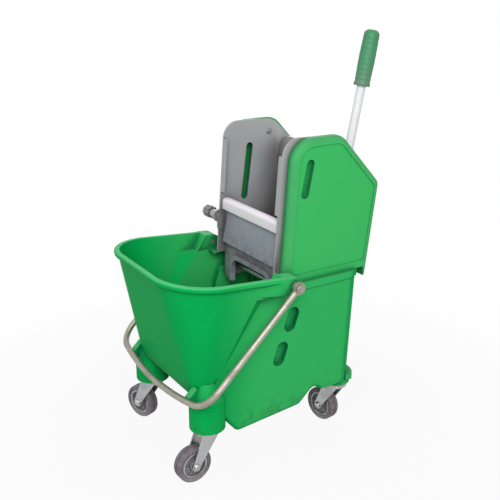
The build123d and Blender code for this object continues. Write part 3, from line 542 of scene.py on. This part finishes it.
def rubber(name, colour, greyed, roughness, greying_band=None):
    """Vulcanised rubber: fine grain, bloom in patches and a greyer tone below a band of heights."""
    made, place = new_finish(name, IOR=rubber_ior)
    bloom = place.noise(bloom_size, detail=4.0).step(*bloom_cut)
    grain = place.noise(rubber_grain)
    greying = bloom * rubber_shares["bloom"]
    if greying_band:
        greying = greying + (1 - place.part("Z").step(*greying_band)) * rubber_shares["greying"]
    rough = bloom * rubber_roughening["bloom"] + grain * rubber_roughening["grain"] + roughness
    return connect(made, Base_Color=greying.tint(colour, greyed), Roughness=rough,
                   Normal=grain.relief(rubber_strength, rubber_depth))


# The grip turns greyer and darker towards its foot.
grip_green = rubber("grip_green", roughness=0.46, greying_band=(0.745, 0.800),
                    colour=(0.028, 0.235, 0.092, 1), greyed=(0.115, 0.200, 0.130, 1))
# On the tyres the greyer band near the floor is dust.
tyre_rubber = rubber("tyre_rubber", roughness=0.62, greying_band=(0.004, 0.030),
                     colour=(0.138, 0.114, 0.133, 1), greyed=(0.34, 0.32, 0.33, 1))
buffer_rubber = rubber("buffer_rubber", roughness=0.66,
                       colour=(0.03, 0.03, 0.03, 1), greyed=(0.12, 0.12, 0.12, 1))
print("rubbers:", [made.name for made in (grip_green, tyre_rubber, buffer_rubber)])

# %% [markdown]
# ## Dressing the solids
# A solid whose shape is right keeps its place. Its mesh is loose triangles, which would show as facets on
# round walls, so a merged copy with smooth shading stands for it. Flat pieces could stay as they are, but one
# way for all keeps the lesson short.

# %% Finish of each solid
finish_of_slot = {
    "tub_green": tub_green,
    "cheek_green": cheek_green,
    "frame_grey": frame_grey,
    "lip_light": lip_pale,
    "bail_steel": bail_steel,
    "bright_steel": bright_steel,
    "lever_tube": lever_coat,
    "grip_green": grip_green,
    "knob_grey": knob_grey,
    "wheel_grey": wheel_grey,
    "tyre": tyre_rubber,
    "buffer": buffer_rubber,
}
finish_of_node = {
    "front_wall": wall_grey,
    "cover_screws": dull_steel,
    "bail_pin_left": bail_steel,
    "bail_pin_right": bail_steel,
}


def dress(piece, body, slot, *stands_for):
    """Gives a piece its finish, the body it moves with and the solids it stands for."""
    piece.data.materials.clear()
    piece.data.materials.append(finish_of_node.get(stands_for[0], finish_of_slot[slot]))
    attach(piece, body)
    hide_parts(*stands_for)


print("finishes:", len(finish_of_slot), "by slot,", len(finish_of_node), "by node")

# %% Merged copies
merge_distance = 0.00001
smooth_angle = math.radians(28)


def only(piece):
    """Makes this the one selected and active object."""
    bpy.ops.object.select_all(action="DESELECT")
    piece.select_set(True)
    bpy.context.view_layer.objects.active = piece


def merged_copy(node, name):
    """A copy of a solid's mesh with its triangles joined, at the same place."""
    source = nodes[node]
    made = source.copy()
    made.data = source.data.copy()
    made.name = name
    made.parent = None
    del made["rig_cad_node"]
    bpy.context.scene.collection.objects.link(made)
    only(made)
    bpy.ops.mesh.customdata_custom_splitnormals_clear()
    bpy.ops.object.mode_set(mode="EDIT")
    bpy.ops.mesh.select_all(action="SELECT")
    bpy.ops.mesh.remove_doubles(threshold=merge_distance)
    bpy.ops.object.mode_set(mode="OBJECT")
    bpy.ops.object.shade_smooth_by_angle(angle=smooth_angle)
    return made


def body_of(node):
    return nodes[node]["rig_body"]


hand_made = {"lever_grip", "cover_screws"}
hand_made |= {node for node in nodes if node.endswith(("_tyre", "_wheel_core"))}
copied = sorted(set(nodes) - hand_made)
for node in copied:
    dress(merged_copy(node, node + "_skin"), body_of(node), slots[node], node)
print("merged copies:", len(copied))

# %% [markdown]
# ## Tyres
# A caster tyre is a rubber ring with rounded shoulders, a groove along the tread and a raised line on each
# side. It could be spun from a section; here a cylinder is turned into a ring, because insets and bevels on a
# cylinder show each step of the shape. It is modelled once on the origin and copied to the four axles. Faces
# and edges are picked by their place and normal, since a script has no hand to click on them.


# %% Shaping by hand
def settle(piece):
    """Makes the place, turn and scale of a piece part of its mesh."""
    only(piece)
    bpy.ops.object.transform_apply(location=True, rotation=True, scale=True)


def pick(piece, kind, test):
    """Selects the polygons or edges of a piece in edit mode that pass a test, and counts them."""
    bpy.ops.mesh.select_mode(type={"polygons": "FACE", "edges": "EDGE"}[kind])
    bpy.ops.mesh.select_all(action="DESELECT")
    bpy.ops.object.mode_set(mode="OBJECT")
    found = 0
    for item in getattr(piece.data, kind):
        item.select = bool(test(item))
        found += item.select
    bpy.ops.object.mode_set(mode="EDIT")
    return found


def push(distance):
    """Extrudes the selected faces outwards, or inwards where the distance is negative."""
    bpy.ops.mesh.extrude_region_shrink_fatten(TRANSFORM_OT_shrink_fatten={"value": distance})


def finish_mesh(angle=smooth_angle):
    """Merges doubles of the piece in edit mode, turns its faces outwards and shades it smooth."""
    bpy.ops.mesh.select_all(action="SELECT")
    bpy.ops.mesh.remove_doubles(threshold=merge_distance)
    bpy.ops.mesh.normals_make_consistent(inside=False)
    bpy.ops.object.mode_set(mode="OBJECT")
    bpy.ops.object.shade_smooth_by_angle(angle=angle)


print("doubles closer than", merge_distance, "m merge")

# %% Wheel blanks
round_steps = 72
near = 0.0001
side_facing = 0.9


def add_wheel_disc(name, radius, half_width):
    """A cylinder on the origin whose axis lies along X, open in edit mode."""
    bpy.ops.object.select_all(action="DESELECT")
    bpy.ops.mesh.primitive_cylinder_add(vertices=round_steps, radius=radius, depth=2 * half_width,
                                        rotation=(0, math.radians(90), 0))
    made = bpy.context.object
    made.name = name
    settle(made)
    bpy.ops.object.mode_set(mode="EDIT")
    return made


def radius_at(piece, corner):
    """How far a corner of a wheel piece lies from its axle."""
    place = piece.data.vertices[corner].co
    return math.hypot(place.y, place.z)


def on_side(face, beyond, facing=side_facing):
    """True for faces that look along the axle from further out than this."""
    return abs(face.center.x) > beyond and abs(face.normal.x) > facing


def open_bore(piece, cap_radius, bore_radius):
    """Opens the two selected end caps and joins the openings by a bore."""
    bpy.ops.mesh.inset(thickness=cap_radius - bore_radius)
    bpy.ops.mesh.delete(type="FACE")
    pick(piece, "edges", lambda edge: all(
        radius_at(piece, corner) < bore_radius + near for corner in edge.vertices))
    bpy.ops.mesh.bridge_edge_loops()


print("wheel blanks have", round_steps, "sides")

# %% Tyre
tyre_low, tyre_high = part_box("caster_rear_right_tyre")
tyre_radius = (tyre_high.z - tyre_low.z) / 2
tyre_half = 0.012
core_radius = 0.028
tyre_shoulder = 0.0042
shoulder_segments = 4
groove_half = 0.0012
groove_depth = 0.0016
side_line = 0.0016
side_rise = 0.0006
side_flat = 0.98


def on_shoulder(edge):
    """True for the two outer edges of the tread."""
    return all(abs(abs(tyre.data.vertices[corner].co.x) - tyre_half) < near
               and radius_at(tyre, corner) > tyre_radius - near for corner in edge.vertices)


tyre = add_wheel_disc("tyre_master", tyre_radius, tyre_half)
for offset in (-groove_half, groove_half):
    bpy.ops.mesh.select_all(action="SELECT")
    bpy.ops.mesh.bisect(plane_co=(offset, 0, 0), plane_no=(1, 0, 0))
pick(tyre, "polygons", lambda face: abs(face.center.x) < groove_half / 2)
push(-groove_depth)
pick(tyre, "polygons", lambda face: on_side(face, tyre_half / 2))
open_bore(tyre, tyre_radius, core_radius)
pick(tyre, "edges", on_shoulder)
bpy.ops.mesh.bevel(offset=tyre_shoulder, segments=shoulder_segments, affect="EDGES")
pick(tyre, "polygons", lambda face: on_side(face, tyre_half / 2, side_flat))
bpy.ops.mesh.inset(thickness=side_line)
push(-side_rise)
finish_mesh()
print("tyre:", len(tyre.data.polygons), "faces, radius", round(tyre_radius, 4))

# %% [markdown]
# ## Wheel centres
# The centre is a grey moulding: a rim under the tyre, a thin web, a hub round the axle and ribs between them.
# It could be turned as a section too, but not its ribs. So it starts again from a disc: each step is an inset
# followed by a push in or out, and a narrow face in each sixth of the web is pulled out into a rib. Then the
# two ends of the hub are opened and joined, which leaves the bore for the axle, and a small bevel rounds
# every sharp edge as a mould does.

# %% Wheel centre
core_half = 0.0105
rim_wall = 0.0045
web_half = 0.0035
hub_radius = 0.011
hub_half = 0.0125
hub_bore = 0.0041
rib_count = 6
rib_steps = 1.1
rib_height = 0.0045
edge_bevel = 0.0005
bevel_segments = 2


def on_rib(face):
    """True for web faces whose middle lies within rib_steps sides of the disc from the start of a rib."""
    on_web = abs(abs(face.center.x) - web_half) < near and abs(face.normal.x) > side_facing
    turn = math.degrees(math.atan2(face.center.z, face.center.y)) % (360 / rib_count)
    return on_web and turn < rib_steps * 360 / round_steps


def modify(piece, kind, **settings):
    """Adds a modifier with these settings to a piece and applies it."""
    only(piece)
    bpy.ops.object.modifier_add(type=kind)
    modifier = piece.modifiers[-1]
    for name, value in settings.items():
        setattr(modifier, name, value)
    bpy.ops.object.modifier_apply(modifier=modifier.name)


core = add_wheel_disc("core_master", core_radius, core_half)
pick(core, "polygons", lambda face: on_side(face, web_half / 2))
bpy.ops.mesh.inset(thickness=rim_wall)
push(web_half - core_half)
bpy.ops.mesh.inset(thickness=core_radius - rim_wall - hub_radius)
push(hub_half - web_half)
ribs = pick(core, "polygons", on_rib)
push(rib_height)
pick(core, "polygons", lambda face: abs(abs(face.center.x) - hub_half) < near)
open_bore(core, hub_radius, hub_bore)
finish_mesh()
modify(core, "BEVEL", width=edge_bevel, segments=bevel_segments, limit_method="ANGLE")
bpy.ops.object.mode_set(mode="EDIT")
bpy.ops.mesh.select_all(action="SELECT")
bpy.ops.mesh.dissolve_degenerate(threshold=merge_distance)
finish_mesh()
print("wheel centre:", len(core.data.polygons), "faces,", ribs, "rib faces")


# %% Four wheels
def placed_copy(master, name, matrix):
    """A copy of a master with its own mesh, moved into place for good."""
    made = master.copy()
    made.data = master.data.copy()
    made.name = name
    bpy.context.scene.collection.objects.link(made)
    made.matrix_world = matrix
    settle(made)
    return made


casters = ["front_right", "front_left", "rear_right", "rear_left"]
for caster in casters:
    spin = joints["wheel_spin_" + caster]
    axle_turn = math.atan2(spin["axis"][1], spin["axis"][0])
    at_axle = Matrix.Translation(spin["pos_m"]) @ Matrix.Rotation(axle_turn, 4, "Z")
    for master, part, slot in ((tyre, "tyre", "tyre"), (core, "wheel_core", "wheel_grey")):
        node = "caster_" + caster + "_" + part
        dress(placed_copy(master, node + "_made", at_axle), "wheel_" + caster, slot, node)
for master in (tyre, core):
    bpy.data.objects.remove(master)
print("wheels:", casters)

# %% [markdown]
# ## Cover screws
# Pan-head screws hold the cheeks to the plates from the inside. Each head is a low dome with a cross slot.
# The slot could be pushed into the top face, but that would need a grid of faces in the shape of the cross,
# so two thin blocks are taken away from the head by a boolean instead. One head is modelled and copied to
# every solid head, turned further each time, because no two screws stop at the same angle.

# %% Screw head
head_radius = 0.0055
head_height = 0.0025
head_steps = 32
dome_share = 0.6
dome_segments = 5
slot_width = 0.0012
slot_length = 0.0062
slot_depth = 0.0013

bpy.ops.object.select_all(action="DESELECT")
bpy.ops.mesh.primitive_cylinder_add(vertices=head_steps, radius=head_radius, depth=head_height,
                                    location=(0, 0, head_height / 2))
screw = bpy.context.object
screw.name = "screw_master"
settle(screw)
bpy.ops.object.mode_set(mode="EDIT")
pick(screw, "edges", lambda edge: all(
    screw.data.vertices[corner].co.z > head_height / 2 for corner in edge.vertices))
bpy.ops.mesh.bevel(offset=head_height * dome_share, segments=dome_segments, affect="EDGES")
bpy.ops.object.mode_set(mode="OBJECT")
for length_x, length_y in ((slot_length, slot_width), (slot_width, slot_length)):
    bpy.ops.mesh.primitive_cube_add(size=1, location=(0, 0, head_height))
    cutter = bpy.context.object
    cutter.scale = (length_x, length_y, 2 * slot_depth)
    modify(screw, "BOOLEAN", object=cutter, operation="DIFFERENCE")
    bpy.data.objects.remove(cutter)
bpy.ops.object.shade_smooth_by_angle(angle=smooth_angle)
print("screw head:", len(screw.data.polygons), "faces")

# %% Screws in place
# In radians, and no simple part of a turn, so the crosses never line up.
screw_turn = 17.0

merged_copy("cover_screws", "screw_places")
bpy.ops.object.mode_set(mode="EDIT")
bpy.ops.mesh.separate(type="LOOSE")
bpy.ops.object.mode_set(mode="OBJECT")
screw_group = []
for place in list(bpy.context.selected_objects):
    points = [corner.co for corner in place.data.vertices]
    low = Vector([min(point[axis] for point in points) for axis in range(3)])
    high = Vector([max(point[axis] for point in points) for axis in range(3)])
    inward = -1 if low.x > 0 else 1
    foot = Vector((high.x if inward < 0 else low.x, (low.y + high.y) / 2, (low.z + high.z) / 2))
    laid = Matrix.Rotation(math.radians(90 * inward), 4, "Y")
    driven = Matrix.Rotation(screw_turn * len(screw_group), 4, "Z")
    screw_group.append(placed_copy(screw, "cover_screw", Matrix.Translation(foot) @ laid @ driven))
    bpy.data.objects.remove(place)
bpy.data.objects.remove(screw)
only(screw_group[0])
for piece in screw_group:
    piece.select_set(True)
bpy.ops.object.join()
screws = bpy.context.object
screws.name = "cover_screws_made"
dress(screws, body_of("cover_screws"), "bright_steel", "cover_screws")
print("screws:", len(screw_group))

# %% [markdown]
# ## Hand grip
# The grip is a moulded sleeve pushed on the lever: a collar at its foot, a body with a slight waist and fine
# rings, and a domed end. It could be a cylinder with a bump map, but the rings show against the sky. So a
# ring of points is pulled down the bore, turned out at the foot and pulled up again station by station,
# resized each time, as a potter would. A station is a distance from the lever's pivot and a radius.

# %% Grip stations
lever_length = 0.457
grip_length = 0.110
grip_bore = 0.009
grip_cap = 0.005
grip_swell = 0.0165
grip_waist = 0.0155
swell_share = 0.9
foot_round = 0.0008
collar_height = 0.006
collar_step = 0.0012
collar_gap = 0.004
ring_count = 9
ring_rise = 0.0004
ring_sharpness = 3
body_steps = 72
dome_height = 0.010
dome_steps = 8


def wave(turns):
    """0 after every whole turn and 1 halfway between."""
    return 0.5 - 0.5 * math.cos(2 * math.pi * turns)


grip_foot = lever_length - grip_length
bore_top = lever_length - grip_cap
collar_top = grip_foot + collar_height
stations = [(bore_top, grip_bore), (grip_foot, grip_bore),
            (grip_foot, grip_swell - foot_round), (grip_foot + foot_round, grip_swell),
            (collar_top, grip_swell), (collar_top + collar_step, grip_waist)]
body_start = collar_top + collar_gap
body_end = lever_length - dome_height
for step in range(body_steps + 1):
    share = step / body_steps
    swell = grip_waist + (grip_swell - grip_waist) * wave(share) * swell_share
    ring = ring_rise * wave(ring_count * share) ** ring_sharpness
    stations.append((body_start + share * (body_end - body_start), min(swell + ring, grip_swell)))
dome_start = stations[-1][1]
for step in range(1, dome_steps + 1):
    turn = math.pi / 2 * step / dome_steps
    dome_radius = dome_start - dome_height * (1 - math.cos(turn))
    stations.append((body_end + dome_height * math.sin(turn), dome_radius))
print("grip stations:", len(stations))

# %% Grip
lever_lean = math.radians(11.7)
grip_steps = 48
grip_smooth = math.radians(50)

tube_low, tube_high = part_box("lever_tube")
lever_x = (tube_low.x + tube_high.x) / 2
lever_pivot = Vector(joints["press_swing"]["pos_m"])


def on_bore_top(edge):
    """True for the ring of edges at the top of the bore."""
    points = [grip.data.vertices[corner].co for corner in edge.vertices]
    return all(abs(point.z - bore_top) < near and point.xy.length < grip_bore + near for point in points)


bpy.ops.object.select_all(action="DESELECT")
bpy.ops.mesh.primitive_circle_add(vertices=grip_steps, radius=grip_bore, location=(0, 0, bore_top))
grip = bpy.context.object
grip.name = "lever_grip_made"
settle(grip)
bpy.ops.object.mode_set(mode="EDIT")
bpy.ops.mesh.select_all(action="SELECT")
for (from_z, from_radius), (to_z, to_radius) in zip(stations, stations[1:]):
    bpy.ops.mesh.extrude_edges_move(TRANSFORM_OT_translate={"value": (0, 0, to_z - from_z)})
    grow = to_radius / from_radius
    bpy.ops.transform.resize(value=(grow, grow, 1), center_override=(0, 0, to_z))
bpy.ops.mesh.edge_face_add()
pick(grip, "edges", on_bore_top)
bpy.ops.mesh.edge_face_add()
finish_mesh(grip_smooth)
lean_back = Matrix.Rotation(-lever_lean, 4, "X")
grip.matrix_world = Matrix.Translation((lever_x, lever_pivot.y, lever_pivot.z)) @ lean_back
settle(grip)
dress(grip, "press", "grip_green", "lever_grip")
print("grip:", len(grip.data.polygons), "faces")
